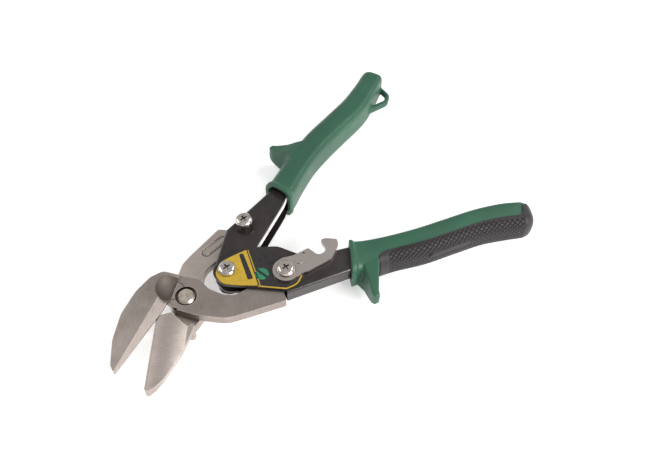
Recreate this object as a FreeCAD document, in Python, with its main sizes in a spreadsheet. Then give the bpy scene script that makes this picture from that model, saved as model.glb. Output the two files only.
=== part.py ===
import FreeCAD, Part
import math
import os

import Sketcher
from FreeCAD import Placement, Rotation, Vector

# Offset compound-action snips lying flat.  Every pivot axis is vertical (+Z), +X runs from
# the blade bolt towards the handles, and the origin is the centre of the bolt nut's bottom
# face, which touches the surface that the tool lies on.  The handles stand open.

SIZES = {
    "blade_plane": 10.5,        # height of the face where the two blades meet
    "blade_thickness": 5.4,
    "blade_gap": 0.04,          # working gap between the sliding faces
    "shear_height": 5.0,        # cutting plane above the blade plane
    "jaw_height": 4.2,          # thickness of the upper jaw above the cutting plane
    "sheet_gauge": 1.6,         # handle and latch sheet
    "fold_radius": 1.5,         # outside of the handle channels' folds
    "fit": 0.05,                # running clearance on a radius
    "bolt_to_hinge": 24.3,      # blade bolt to handle hinge, handles open
    "joint_forward": 47.4,      # blade bolt to the two tail joints, along X
    "joint_offset": 18.9,       # tail joints to the centre line
    "bolt_radius": 4.0,
    "recess_radius": 5.45,
    "recess_depth": 1.6,
    "head_radius": 4.6,
    "hinge_radius": 3.0,
    "lower_joint_radius": 3.0,
    "upper_joint_radius": 2.6,
    "screw_head_radius": 4.5,
    "screw_head_height": 2.3,
    "tail_hole_slack": 0.55,    # radial slack of the upper tail joint
    "lower_flange_top": 7.2,    # outer faces of the handle channels, from the blade plane
    "lower_flange_bottom": -1.7,
    "upper_flange_top": 5.45,
    "upper_flange_bottom": -7.1,
    "latch_bottom": 7.5,
    "spring_wire": 1.1,
    "spring_radius": 4.6,
    "grip_half_width": 7.8,
    "grip_half_height": 9.0,
    "grip_corner": 0.56,        # corner radius as a share of the section's half width
    "rubber_rise": 0.25,        # how far the rubber stands proud of the hard grip
    "rubber_depth": 0.7,
    "panel_depth": 18.0,
    "label_thickness": 0.15,
}

pieces = []                     # every finished sub-part, in the order made
doc = FreeCAD.newDocument("snips")
sheet = doc.addObject("Spreadsheet::Sheet", "Sizes")
for row, (alias, value) in enumerate(SIZES.items(), start=1):
    sheet.set(f"A{row}", alias.replace("_", " "))
    sheet.set(f"B{row}", str(value))
    sheet.setAlias(f"B{row}", alias)
doc.recompute()


def size(alias):
    return float(sheet.get(alias))


PLANE = size("blade_plane")
FIT = size("fit")
GAUGE = size("sheet_gauge")
BOLT = (0.0, 0.0)
HINGE = (size("bolt_to_hinge"), 0.0)
UPPER_JOINT = (size("joint_forward"), size("joint_offset"))
LOWER_JOINT = (size("joint_forward"), -size("joint_offset"))


# ---------------------------------------------------------------- drawing helpers

def mirrored(corners):
    """The same outline on the other side of the centre line."""
    return [(x, -y, r) for x, y, r in reversed(corners)]


def between(start, end, share):
    """The point a share of the way along a line."""
    return (start[0] + (end[0] - start[0]) * share, start[1] + (end[1] - start[1]) * share)


def outline(corners):
    """Lines and tangent arcs of a closed outline given as (x, y, corner radius)."""
    starts, ends, arcs = [], [], []
    count = len(corners)
    for i, (x, y, radius) in enumerate(corners):
        here = Vector(x, y, 0)
        before = Vector(*corners[i - 1][:2], 0)
        after = Vector(*corners[(i + 1) % count][:2], 0)
        to_before = (before - here).normalize()
        to_after = (after - here).normalize()
        half = to_before.getAngle(to_after) / 2
        if radius <= 0 or half > math.pi / 2 - 0.01:
            starts.append(here)
            ends.append(here)
            arcs.append(None)
            continue
        reach = radius / math.tan(half)
        bisector = (to_before + to_after).normalize()
        middle = here + bisector * (radius / math.sin(half) - radius)
        starts.append(here + to_before * reach)
        ends.append(here + to_after * reach)
        arcs.append(Part.Arc(starts[-1], middle, ends[-1]))
    geometry = []
    for i in range(count):
        if arcs[i]:
            geometry.append(arcs[i])
        following = starts[(i + 1) % count]
        if (following - ends[i]).Length > 1e-4:
            geometry.append(Part.LineSegment(ends[i], following))
    return geometry


# ---------------------------------------------------------------- feature helpers

def new_body(label):
    body = doc.addObject("PartDesign::Body", label)
    body.Label = label
    return body


def new_piece(label):
    """The body of a finished sub-part."""
    pieces.append(new_body(label))
    return pieces[-1]


def origin_plane(body, role):
    return next(item for item in body.Origin.OriginFeatures if item.Role == role)


def new_sketch(body, name, level, geometry):
    """A sketch parallel to the ground at a height given by an expression."""
    sketch = body.newObject("Sketcher::SketchObject", f"{body.Label}_{name}")
    sketch.AttachmentSupport = (origin_plane(body, "XY_Plane"), [""])
    sketch.MapMode = "FlatFace"
    sketch.setExpression("AttachmentOffset.Base.z", level)
    for item in geometry:
        sketch.addGeometry(item, False)
    return sketch


def round_sketch(body, name, level, centre, radius):
    """A circle whose radius is an expression."""
    circle = Part.Circle(Vector(*centre, 0), Vector(0, 0, 1), 1.0)
    sketch = new_sketch(body, name, level, [circle])
    index = sketch.addConstraint(Sketcher.Constraint("Radius", 0, 1.0))
    sketch.setExpression(f"Constraints[{index}]", radius)
    return sketch


def pad(body, sketch, length):
    feature = body.newObject("PartDesign::Pad", f"{sketch.Name}_pad")
    feature.Profile = sketch
    feature.setExpression("Length", length)
    return feature


def pocket(body, sketch, length):
    """Cuts downwards from the sketch."""
    feature = body.newObject("PartDesign::Pocket", f"{sketch.Name}_pocket")
    feature.Profile = sketch
    feature.setExpression("Length", length)
    return feature


def plate(body, name, corners, bottom, height):
    return pad(body, new_sketch(body, name, bottom, outline(corners)), height)


def cut_plate(body, name, corners, top, depth):
    return pocket(body, new_sketch(body, name, top, outline(corners)), depth)


def disc(body, name, centre, radius, bottom, height):
    return pad(body, round_sketch(body, name, bottom, centre, radius), height)


def bore(body, name, centre, radius, top, depth):
    return pocket(body, round_sketch(body, name, top, centre, radius), depth)


def tool_placement(base, along, up):
    """Puts a tool's X along one direction and its Z along another."""
    across = up.cross(along)
    return Placement(base, Rotation(along, across, up, "ZXY"))


def cut_block(body, name, base, along, up, length, width, height):
    """Removes a block that starts at base, centred across its width."""
    block = body.newObject("PartDesign::SubtractiveBox", f"{body.Label}_{name}")
    block.AttachmentSupport = (origin_plane(body, "XY_Plane"), [""])
    block.MapMode = "FlatFace"
    along.normalize()
    up = (up - along * up.dot(along)).normalize()
    across = up.cross(along)
    block.AttachmentOffset = tool_placement(base - across * (width / 2), along, up)
    block.Length = length
    block.Width = width
    block.Height = height
    return block


def cut_round(body, name, base, along, radius, length):
    """Removes a long cylinder whose axis starts at base."""
    tool = body.newObject("PartDesign::SubtractiveCylinder", f"{body.Label}_{name}")
    tool.AttachmentSupport = (origin_plane(body, "XY_Plane"), [""])
    tool.MapMode = "FlatFace"
    tool.AttachmentOffset = Placement(base, Rotation(Vector(0, 0, 1), along))
    tool.Radius = radius
    tool.Height = length
    return tool


def at(level):
    """An expression for a height that is measured from the blade plane."""
    return f"Sizes.blade_plane + ({level})"


# ---------------------------------------------------------------- blades

# Upper blade: jaw on the left, tail to the lower handle.
# The plate and the jaw share the rim from the shoulder round to the crown.
SHOULDER = (4.0, 12.0, 0)
RIM = [SHOULDER, (-1.6, 17.0, 4.0), (-9.3, 17.8, 6.0)]
CROWN_END = (-19.4, 14.8, 12.0)
LEFT_PLATE = [
    (-9.4, -1.6, 2.0), (-2.6, -11.4, 12.0), (9.2, -22.9, 14.0), (20.0, -26.4, 20.0),
    (38.4, -31.9, 1.2), (40.4, -25.6, 1.0), (53.4, -24.9, 5.6), (53.4, -12.9, 5.4),
    (36.0, -14.6, 8.0), (17.6, -14.6, 10.5), (11.2, -3.0, 8.0), (10.8, 4.2, 8.0),
] + RIM + [between(RIM[-1], CROWN_END, 0.45) + (0,), (-10.2, 7.4, 3.0), (-8.6, 2.5, 2.0)]
LEFT_JAW = [
    (-49.3, -17.0, 0.6), (-13.3, -0.4, 0.8), (-10.4, 1.4, 1.0), (-7.7, 2.4, 0.3),
] + RIM + [CROWN_END, (-31.0, 8.6, 16.0), (-41.4, -1.2, 16.0), (-48.5, -11.9, 2.0)]
LEFT_HEEL = Vector(-13.3, -0.4, 0)
SCOOP_CORNER = (-7.7, 2.4)
RIDGE_ROOT = Vector(-12.2, 5.6, 0)
RIDGE_TIP = Vector(-42.0, -10.4, 0)

# Lower blade: jaw on the right, tail to the upper handle.
RIGHT_PLATE = [
    (-9.6, -4.0, 1.5), (-6.2, 4.6, 4.0), (-2.0, 12.0, 6.0), (5.6, 17.2, 2.0),
    (9.8, 20.8, 9.0), (16.4, 23.0, 9.0), (36.6, 28.4, 1.5), (40.2, 25.2, 1.0),
    (53.4, 24.9, 5.6), (53.4, 12.9, 5.6), (38.0, 13.4, 8.0), (16.6, 11.0, 9.0),
    (10.6, 3.0, 9.0), (9.6, -6.0, 8.0), (2.6, -11.6, 3.0), (-5.0, -14.6, 1.5),
    (-9.0, -17.6, 1.0),
]
RIGHT_JAW = [
    (-17.4, -1.0, 0.8), (-41.8, -31.2, 0.4), (-41.2, -32.9, 0.6), (-37.2, -33.0, 3.0),
    (-31.6, -31.6, 8.0), (-18.9, -26.0, 20.0), (-10.2, -20.2, 8.0), (-5.2, -16.2, 0.8),
    (-5.8, -15.0, 0.4), (-8.4, -15.2, 0.8), (-10.3, -2.7, 0.8),
]
RIGHT_TIP = Vector(-41.8, -31.2, 0)
RIGHT_HEEL = Vector(-17.4, -1.0, 0)


def make_left_blade():
    blade = new_piece("left_blade")
    plate(blade, "plate", LEFT_PLATE, at("Sizes.blade_gap / 2"), "Sizes.blade_thickness - Sizes.blade_gap / 2")
    plate(blade, "jaw", LEFT_JAW, at("Sizes.shear_height + Sizes.blade_gap / 2"), "Sizes.jaw_height")
    top = PLANE + size("shear_height") + size("jaw_height")
    land = PLANE + size("shear_height") + 0.9
    # The bevel falls from the ridge to the thin land over the cutting edge.
    ridge = RIDGE_ROOT + Vector(0, 0, top)
    ridge_along = (RIDGE_TIP - RIDGE_ROOT + Vector(0, 0, -1.3)).normalize()
    bevel_up = ridge_along.cross(LEFT_HEEL + Vector(0, 0, land) - ridge).normalize()
    bevel_up = bevel_up if bevel_up.z > 0 else bevel_up * -1
    downhill = bevel_up.cross(ridge_along)
    downhill = downhill if downhill.z < 0 else downhill * -1
    reach = 11.0
    cut_block(blade, "bevel", ridge + downhill * (reach / 2), ridge_along, bevel_up, 60, reach, 12)
    # The back of the jaw falls gently towards the tip.
    back_along = Vector(-1, -0.75, -0.075).normalize()
    cut_block(blade, "tip_fall", Vector(-14, 10, top), back_along, Vector(0, 0, 1), 60, 60, 8)
    # The rim falls to the shoulder, and half a bowl separates the bolt plate from the neck.
    fall = (Vector(5.0, 11.6, PLANE + size("blade_thickness")) - Vector(-4.5, 14.6, top)).normalize()
    cut_block(blade, "rim_fall", Vector(-4.5, 14.6, top), fall, Vector(0, 0, 1), 9.6, 18, 8)
    corner = Vector(*SCOOP_CORNER, 0)
    front = (Vector(*SHOULDER[:2], 0) - corner).normalize()
    outward = Vector(0, 0, 1).cross(front)
    bowl = blade.newObject("PartDesign::SubtractiveSphere", "left_blade_scoop")
    bowl.AttachmentSupport = (origin_plane(blade, "XY_Plane"), [""])
    bowl.MapMode = "FlatFace"
    middle = corner + front * 6.0 - outward * 0.15 + Vector(0, 0, PLANE + 14.0)
    bowl.AttachmentOffset = tool_placement(middle, front, Vector(0, 0, 1))
    bowl.Radius = 10.0
    bowl.Angle3 = 180
    bore(blade, "recess", BOLT, "Sizes.recess_radius", at("Sizes.blade_thickness"), "Sizes.recess_depth")
    bore(blade, "bolt_hole", BOLT, "Sizes.bolt_radius", at("Sizes.blade_thickness"), "Sizes.blade_thickness")
    bore(blade, "tail_hole", LOWER_JOINT, "Sizes.lower_joint_radius + Sizes.fit",
         at("Sizes.blade_thickness"), "Sizes.blade_thickness")


def make_right_blade():
    blade = new_piece("right_blade")
    plate(blade, "plate", RIGHT_PLATE, at("-Sizes.blade_thickness"), "Sizes.blade_thickness - Sizes.blade_gap / 2")
    plate(blade, "jaw", RIGHT_JAW, at("-Sizes.blade_thickness"),
          "Sizes.blade_thickness + Sizes.shear_height - Sizes.blade_gap / 2")
    along = (RIGHT_TIP - RIGHT_HEEL).normalize()
    side = Vector(along.y, -along.x, 0)
    side = side if side.x > 0 else side * -1
    # The underside rises towards the tip and towards the outer rim.
    rise = (along + Vector(0, 0, 0.12)).normalize()
    cut_block(blade, "under_rise", RIGHT_HEEL + side + along * 7.0 + Vector(0, 0, PLANE - size("blade_thickness")),
              rise, Vector(0, 0, -1) + side * 0.42, 60, 60, 14)
    # The upper face is hollow ground between its land and its rim.
    hollow_radius = 30.0
    hollow_depth = 0.95
    middle = RIGHT_HEEL + side * 8.5 + Vector(0, 0, PLANE + size("shear_height") - hollow_depth + hollow_radius)
    cut_round(blade, "hollow", middle - along * 10, along, hollow_radius, 80)
    bore(blade, "bolt_hole", BOLT, "Sizes.bolt_radius + Sizes.fit", at("0"), "Sizes.blade_thickness")
    bore(blade, "tail_hole", UPPER_JOINT, "Sizes.upper_joint_radius + Sizes.tail_hole_slack",
         at("0"), "Sizes.blade_thickness")


# ---------------------------------------------------------------- handle channels

# Each channel's two flanges share the folded edge and narrow to a tang inside the grip.
LOWER_FOLD = [(40.9, -29.5), (109.0, -46.5)]
LOWER_TANG = [(109.0, -38.6, 2.0), (91.0, -32.2, 6.0), (83.0, -26.6, 6.0), (61.0, -18.5, 12.0)]
LOWER_FLANGE = [
    (16.6, 4.6, 5.5), (17.4, -6.2, 6.0), (31.4, -18.4, 10.0), (41.2, -27.0, 0.5),
] + [point + (0,) for point in LOWER_FOLD] + LOWER_TANG + [
    (52.8, -3.6, 9.0), (39.4, 5.2, 3.0), (28.0, 6.2, 12.0),
]
LOWER_UNDER_FLANGE = [
    (17.8, 6.0, 5.8), (18.2, -6.2, 6.0), (40.9, -23.5, 1.0),
] + [point + (0,) for point in LOWER_FOLD] + LOWER_TANG + [
    (50.0, -11.0, 6.0), (36.0, -4.0, 6.0), (30.3, 6.0, 5.8),
]
NECK = (38.3, 22.3)
SHOULDER_BEND = (71.3, 30.2)
UPPER_FOLD = [(110.0, 45.8), (84.0, 33.3), SHOULDER_BEND]
UPPER_FLANGE = [
    NECK + (0.8,), (20.6, 6.4, 5.0), (17.2, -3.0, 6.0), (24.0, -8.2, 6.5), (33.5, -4.2, 6.0),
    (46.0, 3.0, 20.0), (72.0, 17.0, 30.0), (84.0, 27.4, 12.0), (111.0, 39.6, 2.0),
] + [point + (0,) for point in UPPER_FOLD]


def web_strip(edge):
    """The upright web of a channel: a strip one gauge wide on the left of its outer edge."""
    points = [Vector(x, y, 0) for x, y in edge]
    headings = [(b - a).normalize() for a, b in zip(points, points[1:])]
    inner = []
    for i, point in enumerate(points):
        before, after = headings[max(i - 1, 0)], headings[min(i, len(headings) - 1)]
        middle = (before + after).normalize()
        inward = Vector(-middle.y, middle.x, 0)
        inner.append(point + inward * (GAUGE / middle.dot(after)))
    return [(p.x, p.y, 0) for p in points + inner[::-1]]


def dress(body, kind, name, keep):
    """A Fillet or Chamfer on the edges that a test picks out."""
    doc.recompute()
    tip = body.Tip
    names = [f"Edge{i}" for i, edge in enumerate(tip.Shape.Edges, start=1) if keep(edge)]
    feature = body.newObject(f"PartDesign::{kind}", f"{body.Label}_{name}")
    feature.Base = (tip, names)
    return feature


def soften(body, name, radius, keep):
    feature = dress(body, "Fillet", name, keep)
    feature.Radius = radius
    doc.recompute()
    return feature


def round_folds(channel, fold):
    """Rounds the outer edges of the folds, whose ends lie on the given line."""
    def on_fold(edge):
        if len(edge.Vertexes) != 2:
            return False
        a, b = (vertex.Point for vertex in edge.Vertexes)
        level = abs(a.z - b.z) < 1e-6 and (a - b).Length > 8
        return level and any(lies_on(a, p, q) and lies_on(b, p, q) for p, q in zip(fold, fold[1:]))
    soften(channel, "folds", size("fold_radius"), on_fold)


def lies_on(point, start, end):
    way = Vector(end[0] - start[0], end[1] - start[1], 0).normalize()
    offset = Vector(point.x - start[0], point.y - start[1], 0)
    return way.cross(offset).Length < 1e-4 and -1e-4 < way.dot(offset)


def make_lower_channel():
    channel = new_piece("lower_handle_channel")
    plate(channel, "top", LOWER_FLANGE, at("Sizes.lower_flange_top - Sizes.sheet_gauge"), "Sizes.sheet_gauge")
    plate(channel, "web", web_strip(LOWER_FOLD),
          at("Sizes.lower_flange_bottom"), "Sizes.lower_flange_top - Sizes.lower_flange_bottom")
    plate(channel, "under", LOWER_UNDER_FLANGE, at("Sizes.lower_flange_bottom"), "Sizes.sheet_gauge")
    round_folds(channel, LOWER_FOLD)
    drill_channel(channel, "lower", LOWER_JOINT, "Sizes.lower_joint_radius", "0")
    return channel


def make_upper_channel():
    channel = new_piece("upper_handle_channel")
    plate(channel, "top", UPPER_FLANGE, at("Sizes.upper_flange_top - Sizes.sheet_gauge"), "Sizes.sheet_gauge")
    plate(channel, "web", web_strip(UPPER_FOLD + [between(SHOULDER_BEND, NECK, 0.43)]),
          at("Sizes.upper_flange_bottom"), "Sizes.upper_flange_top - Sizes.upper_flange_bottom")
    plate(channel, "under", UPPER_FLANGE, at("Sizes.upper_flange_bottom"), "Sizes.sheet_gauge")
    round_folds(channel, UPPER_FOLD)
    drill_channel(channel, "upper", UPPER_JOINT, "Sizes.upper_joint_radius", "Sizes.fit")
    return channel


def drill_channel(channel, side, joint, joint_radius, hinge_clearance):
    top = at(f"Sizes.{side}_flange_top")
    depth = f"Sizes.{side}_flange_top - Sizes.{side}_flange_bottom"
    bore(channel, "hinge_hole", HINGE, f"Sizes.hinge_radius + {hinge_clearance}", top, depth)
    bore(channel, "joint_hole", joint, joint_radius, top, depth)


# ---------------------------------------------------------------- screws, nuts and spacers

def cross_recess(body, centre, top, reach, width, depth):
    """The cross slot of a screw head."""
    x, y = centre
    for name, dx, dy in (("slot_x", reach, width), ("slot_y", width, reach)):
        corners = [(x - dx, y - dy, 0), (x + dx, y - dy, 0), (x + dx, y + dy, 0), (x - dx, y + dy, 0)]
        cut_plate(body, name, corners, top, depth)


def make_pan_screw(label, centre, radius, head_bottom, shank_bottom, shoulder=None):
    """A pan-head screw; a shoulder is (radius, bottom) under the head."""
    screw = new_piece(label)
    disc(screw, "shank", centre, radius, at(shank_bottom), f"({head_bottom}) - ({shank_bottom})")
    if shoulder:
        disc(screw, "shoulder", centre, shoulder[0], at(shoulder[1]), f"({head_bottom}) - ({shoulder[1]})")
    disc(screw, "head", centre, "Sizes.screw_head_radius", at(head_bottom), "Sizes.screw_head_height")
    rim = PLANE + value(head_bottom) + size("screw_head_height")
    soften(screw, "crown", 1.7, lambda edge: is_ring(edge, size("screw_head_radius"), rim))
    cross_recess(screw, centre, at(f"{head_bottom} + Sizes.screw_head_height"), 1.9, 0.42, "1.5")
    return screw


def value(expression):
    """The number that an expression over the sheet's cells stands for."""
    total = 0.0
    for term in expression.replace("-", "+-").split("+"):
        term = term.strip()
        if term:
            sign = -1.0 if term.startswith("-") else 1.0
            word = term.lstrip("-").strip()
            total += sign * (size(word[6:]) if word.startswith("Sizes.") else float(word))
    return total


def is_ring(edge, radius, level):
    curve = edge.Curve
    return (isinstance(curve, Part.Circle) and abs(curve.Radius - radius) < 1e-4
            and abs(curve.Center.z - level) < 1e-4)


def hexagon(centre, across_flats):
    radius = across_flats / math.sqrt(3)
    x, y = centre
    angles = [math.radians(60 * i) for i in range(6)]
    return [(x + radius * math.cos(a), y + radius * math.sin(a), 0.4) for a in angles]


def make_nut(label, centre, hole, bottom, top, across_flats):
    nut = new_piece(label)
    plate(nut, "body", hexagon(centre, across_flats), at(bottom), f"({top}) - ({bottom})")
    bore(nut, "hole", centre, hole, at(top), f"({top}) - ({bottom})")
    return nut


def make_ring(label, centre, hole, outside, bottom, top):
    ring = new_piece(label)
    disc(ring, "body", centre, outside, at(bottom), f"({top}) - ({bottom})")
    bore(ring, "hole", centre, hole, at(top), f"({top}) - ({bottom})")
    return ring


def make_main_bolt():
    bolt = new_piece("main_pivot_bolt")
    seat = "Sizes.blade_thickness - Sizes.recess_depth"
    disc(bolt, "shank", BOLT, "Sizes.bolt_radius", at("-Sizes.blade_plane"), f"{seat} + Sizes.blade_plane")
    disc(bolt, "head", BOLT, "Sizes.head_radius", at(seat), "Sizes.recess_depth + 0.5")
    rim = PLANE + size("blade_thickness") + 0.5
    chamfer = dress(bolt, "Chamfer", "bevel", lambda edge: is_ring(edge, size("head_radius"), rim))
    chamfer.Size = 0.9
    doc.recompute()


def make_fasteners():
    make_main_bolt()
    make_ring("main_pivot_washer", BOLT, "Sizes.bolt_radius + Sizes.fit", "7.0",
              "-Sizes.blade_thickness - 0.9", "-Sizes.blade_thickness")
    make_nut("main_pivot_nut", BOLT, "Sizes.bolt_radius", "-Sizes.blade_plane",
             "-Sizes.blade_thickness - 0.9", 12.0)

    under = "Sizes.upper_flange_bottom - 2.8"
    make_pan_screw("handle_hinge_screw", HINGE, "Sizes.hinge_radius", "Sizes.lower_flange_top", under)
    make_nut("handle_hinge_nut", HINGE, "Sizes.hinge_radius", under, "Sizes.upper_flange_bottom - 0.1", 9.0)
    make_ring("handle_hinge_spacer", HINGE, "Sizes.hinge_radius", "5.6",
              "Sizes.upper_flange_bottom + Sizes.sheet_gauge + 0.1", "Sizes.lower_flange_bottom")

    seat = "Sizes.latch_bottom + Sizes.sheet_gauge + 0.05"
    low = "Sizes.lower_flange_bottom - 3.0"
    make_pan_screw("latch_screw", LOWER_JOINT, "Sizes.lower_joint_radius", seat, low)
    make_nut("latch_screw_nut", LOWER_JOINT, "Sizes.lower_joint_radius", low, "Sizes.lower_flange_bottom", 8.0)
    make_ring("latch_washer", LOWER_JOINT, "Sizes.lower_joint_radius", "5.6",
              "Sizes.lower_flange_top", "Sizes.latch_bottom - 0.05")

    foot = "Sizes.upper_flange_bottom - 2.8"
    make_pan_screw("upper_handle_screw", UPPER_JOINT, "Sizes.upper_joint_radius", seat, foot,
                   ("Sizes.upper_joint_radius + 0.1", "Sizes.upper_flange_top"))
    make_nut("upper_handle_nut", UPPER_JOINT, "Sizes.upper_joint_radius", foot, "Sizes.upper_flange_bottom", 8.0)
    make_ring("upper_tail_spacer", UPPER_JOINT, "Sizes.upper_joint_radius", "4.6",
              "0.1", "Sizes.upper_flange_top - Sizes.sheet_gauge")


# ---------------------------------------------------------------- latch

LATCH_OUTLINE = [
    (40.7, -12.2, 6.7), (40.7, -25.6, 6.7), (53.6, -25.6, 0.4), (55.4, -26.3, 0.5), (69.6, -27.3, 1.5),
    (77.6, -22.4, 1.2), (79.2, -19.4, 1.2), (74.9, -15.4, 1.4), (72.2, -14.6, 1.0), (71.2, -17.2, 0.8),
    (71.2, -21.9, 2.8), (65.5, -21.9, 2.8), (64.0, -15.0, 1.2), (55.0, -14.2, 4.0), (50.0, -12.2, 2.0),
]


def make_latch():
    latch = new_piece("latch")
    plate(latch, "blank", LATCH_OUTLINE, at("Sizes.latch_bottom"), "Sizes.sheet_gauge")
    top = at("Sizes.latch_bottom + Sizes.sheet_gauge")
    bore(latch, "pivot_hole", LOWER_JOINT, "Sizes.lower_joint_radius + Sizes.fit", top, "Sizes.sheet_gauge")
    bore(latch, "spark_hole", (60.2, -16.4), "0.7", top, "Sizes.sheet_gauge")
    # A pressed thumb bead stands up from the middle.
    bead = [(54.4, -17.0, 1.5), (54.0, -20.0, 1.5), (60.0, -21.4, 1.5), (60.4, -18.4, 1.5)]
    plate(latch, "bead", bead, top, "0.5")


# ---------------------------------------------------------------- spring

def make_spring():
    """A torsion coil with a short upright tang at each end, set from the sheet's sizes."""
    wire = size("spring_wire")
    radius = size("spring_radius")
    bottom = PLANE + 0.02 + wire / 2
    travel = 3.75 - wire
    pitch = wire + 0.15
    helix = Part.makeHelix(pitch, travel, radius)
    profile = Part.Wire([Part.makeCircle(wire / 2, Vector(radius, 0, 0), Vector(0, 1, 0))])
    coil = Part.Wire(helix.Edges).makePipeShell([profile], True, True)
    spring = doc.addObject("Part::Feature", "return_spring")
    spring.Label = "return_spring"
    spring.Shape = coil
    spring.Placement = Placement(Vector(*HINGE, bottom), Rotation())
    pieces.append(spring)


# ---------------------------------------------------------------- grips

# Centre line of each grip from its mouth to its end: x, distance from the tool's centre line,
# and the section's half width and half height as shares of the grip's full half sizes.
GRIP_BODY = [
    (100.0, 39.0, 0.97, 0.97), (115.0, 44.5, 1.0, 1.0), (131.0, 48.8, 1.0, 0.98), (147.0, 53.2, 1.0, 0.98),
]
UPPER_END = [(160.0, 59.2, 0.90, 1.0), (168.0, 63.7, 0.84, 0.94), (173.0, 66.3, 0.58, 0.68)]
LOWER_END = [(160.0, 58.6, 1.04, 1.0), (168.4, 63.0, 0.96, 0.94), (173.0, 65.6, 0.64, 0.68)]
UPPER_LINE = [(73.6, 26.1, 1.15, 1.15), (77.6, 27.4, 1.14, 1.10), (85.0, 31.4, 1.0, 1.01)] + GRIP_BODY + UPPER_END
LOWER_LINE = [(78.6, 31.2, 1.42, 1.15), (82.4, 32.8, 1.26, 1.10), (89.0, 35.2, 1.08, 1.01)] + GRIP_BODY + LOWER_END
UPPER_MOUTH_HEADING = 17.0
LOWER_MOUTH_HEADING = 33.0


def grip_sections(body, side, growth):
    """Rounded sections square to the centre line; side is 1 for the upper grip, -1 for the lower."""
    half_width, half_height = size("grip_half_width"), size("grip_half_height")
    line = UPPER_LINE if side > 0 else LOWER_LINE
    mouth = math.radians(UPPER_MOUTH_HEADING if side > 0 else LOWER_MOUTH_HEADING)
    sketches = []
    for i, (x, y, wide, tall) in enumerate(line):
        before, after = line[max(i - 1, 0)], line[min(i + 1, len(line) - 1)]
        heading = Vector(after[0] - before[0], side * (after[1] - before[1]), 0).normalize()
        if i == 0:
            heading = Vector(math.cos(mouth), side * math.sin(mouth), 0)
        across = Vector(0, 0, 1).cross(heading)
        sketch = body.newObject("Sketcher::SketchObject", f"{body.Label}_section_{i}")
        sketch.AttachmentSupport = (origin_plane(body, "XY_Plane"), [""])
        sketch.MapMode = "FlatFace"
        turn = Rotation(across, Vector(0, 0, 1), heading, "ZXY")
        sketch.AttachmentOffset = Placement(Vector(x, side * y, PLANE), turn)
        tall = tall * half_height + growth
        wide = wide * half_width + growth
        corner = size("grip_corner") * min(wide, tall)
        for item in outline([(wide, tall, corner), (-wide, tall, corner),
                             (-wide, -tall, corner), (wide, -tall, corner)]):
            sketch.addGeometry(item, False)
        sketches.append(sketch)
    return sketches


def loft(body, sketches):
    feature = body.newObject("PartDesign::AdditiveLoft", f"{body.Label}_loft")
    feature.Profile = sketches[0]
    feature.Sections = sketches[1:]
    feature.Ruled = False
    return feature


UPPER_GUARD = [
    (84.0, 36.0, 0), (84.8, 46.5, 3.0), (88.6, 55.4, 1.5), (93.8, 57.6, 2.0), (102.5, 51.2, 6.0),
    (106.0, 44.0, 0),
]
LOWER_GUARD = [
    (72.4, -32.0, 0), (72.6, -43.0, 2.0), (72.8, -54.6, 2.2), (76.6, -57.4, 2.0), (84.6, -48.4, 6.0),
    (90.0, -38.0, 0),
]
LOOP = [
    (150.0, 50.0, 0), (152.6, 46.8, 4.0), (167.5, 45.4, 5.0), (173.2, 50.0, 5.0), (173.4, 64.0, 2.0),
    (160.0, 60.0, 0),
]
LOOP_HOLE = [(157.6, 49.6, 1.2), (167.4, 48.6, 2.0), (170.6, 52.0, 2.0), (170.8, 60.2, 1.2)]
UPPER_CAVITY = [
    (66.0, 11.4, 0), (84.2, 27.1, 12.0), (111.6, 39.2, 0), (110.4, 46.5, 0),
    (84.0, 33.7, 0), (71.2, 30.7, 0), (66.0, 30.0, 0),
]
LOWER_CAVITY = [
    (66.0, -19.9, 0), (66.0, -36.3, 0), (109.5, -47.1, 1.0), (109.5, -38.4, 1.0),
    (91.0, -31.7, 6.0), (83.0, -26.1, 6.0),
]


def make_grip_body(label, side, guard, cavity, flange):
    """The moulded grip with its finger guard, its collar and the pocket for the channel."""
    grip = new_body(label)
    loft(grip, grip_sections(grip, side, 0.0))
    plate(grip, "guard", guard, at("-4.6"), "9.2")
    if side > 0:
        plate(grip, "loop", LOOP, at("-4.5"), "9.0")
        cut_plate(grip, "loop_hole", LOOP_HOLE, at("12"), "24")
    clearance = 0.12
    cut_plate(grip, "cavity", cavity, at(f"Sizes.{flange}_flange_top + {clearance}"),
              f"Sizes.{flange}_flange_top - Sizes.{flange}_flange_bottom + {2 * clearance}")
    return grip


def combine(kind, label, base, tool):
    """Part::Cut or Part::Common of two objects."""
    result = doc.addObject(f"Part::{kind}", label)
    result.Label = label
    result.Base = base
    result.Tool = tool
    return result


def make_grip(name, side, guard, cavity, flange, panel_bottom):
    """A hard grip and the rubber panel let into its outer side, flush plus a small rise."""
    core = make_grip_body(f"{name}_blank", side, guard, cavity, flange)
    outside = new_body(f"{name}_panel_outside")
    loft(outside, grip_sections(outside, side, size("rubber_rise")))
    inside = new_body(f"{name}_panel_inside")
    loft(inside, grip_sections(inside, side, -size("rubber_depth")))
    window = new_body(f"{name}_panel_window")
    corners = PANEL if side > 0 else mirrored(PANEL)
    plate(window, "area", corners, at(panel_bottom), "Sizes.panel_depth")
    shell = combine("Cut", f"{name}_panel_shell", outside, inside)
    panel = combine("Common", f"{name}_rubber", shell, window)
    pieces.append(panel)
    pieces.append(combine("Cut", name, core, panel))


# Plan of the rubber panel on the upper grip, from just outside the centre line outwards.
PANEL = [
    (92.0, 39.8, 3.0), (101.0, 41.8, 10.0), (115.0, 46.8, 20.0), (131.0, 51.0, 30.0),
    (147.0, 55.4, 20.0), (160.0, 60.8, 10.0), (166.5, 64.0, 2.0), (160.0, 76.0, 2.0),
    (96.0, 60.0, 2.0), (88.0, 46.0, 3.0),
]


# ---------------------------------------------------------------- label

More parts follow.
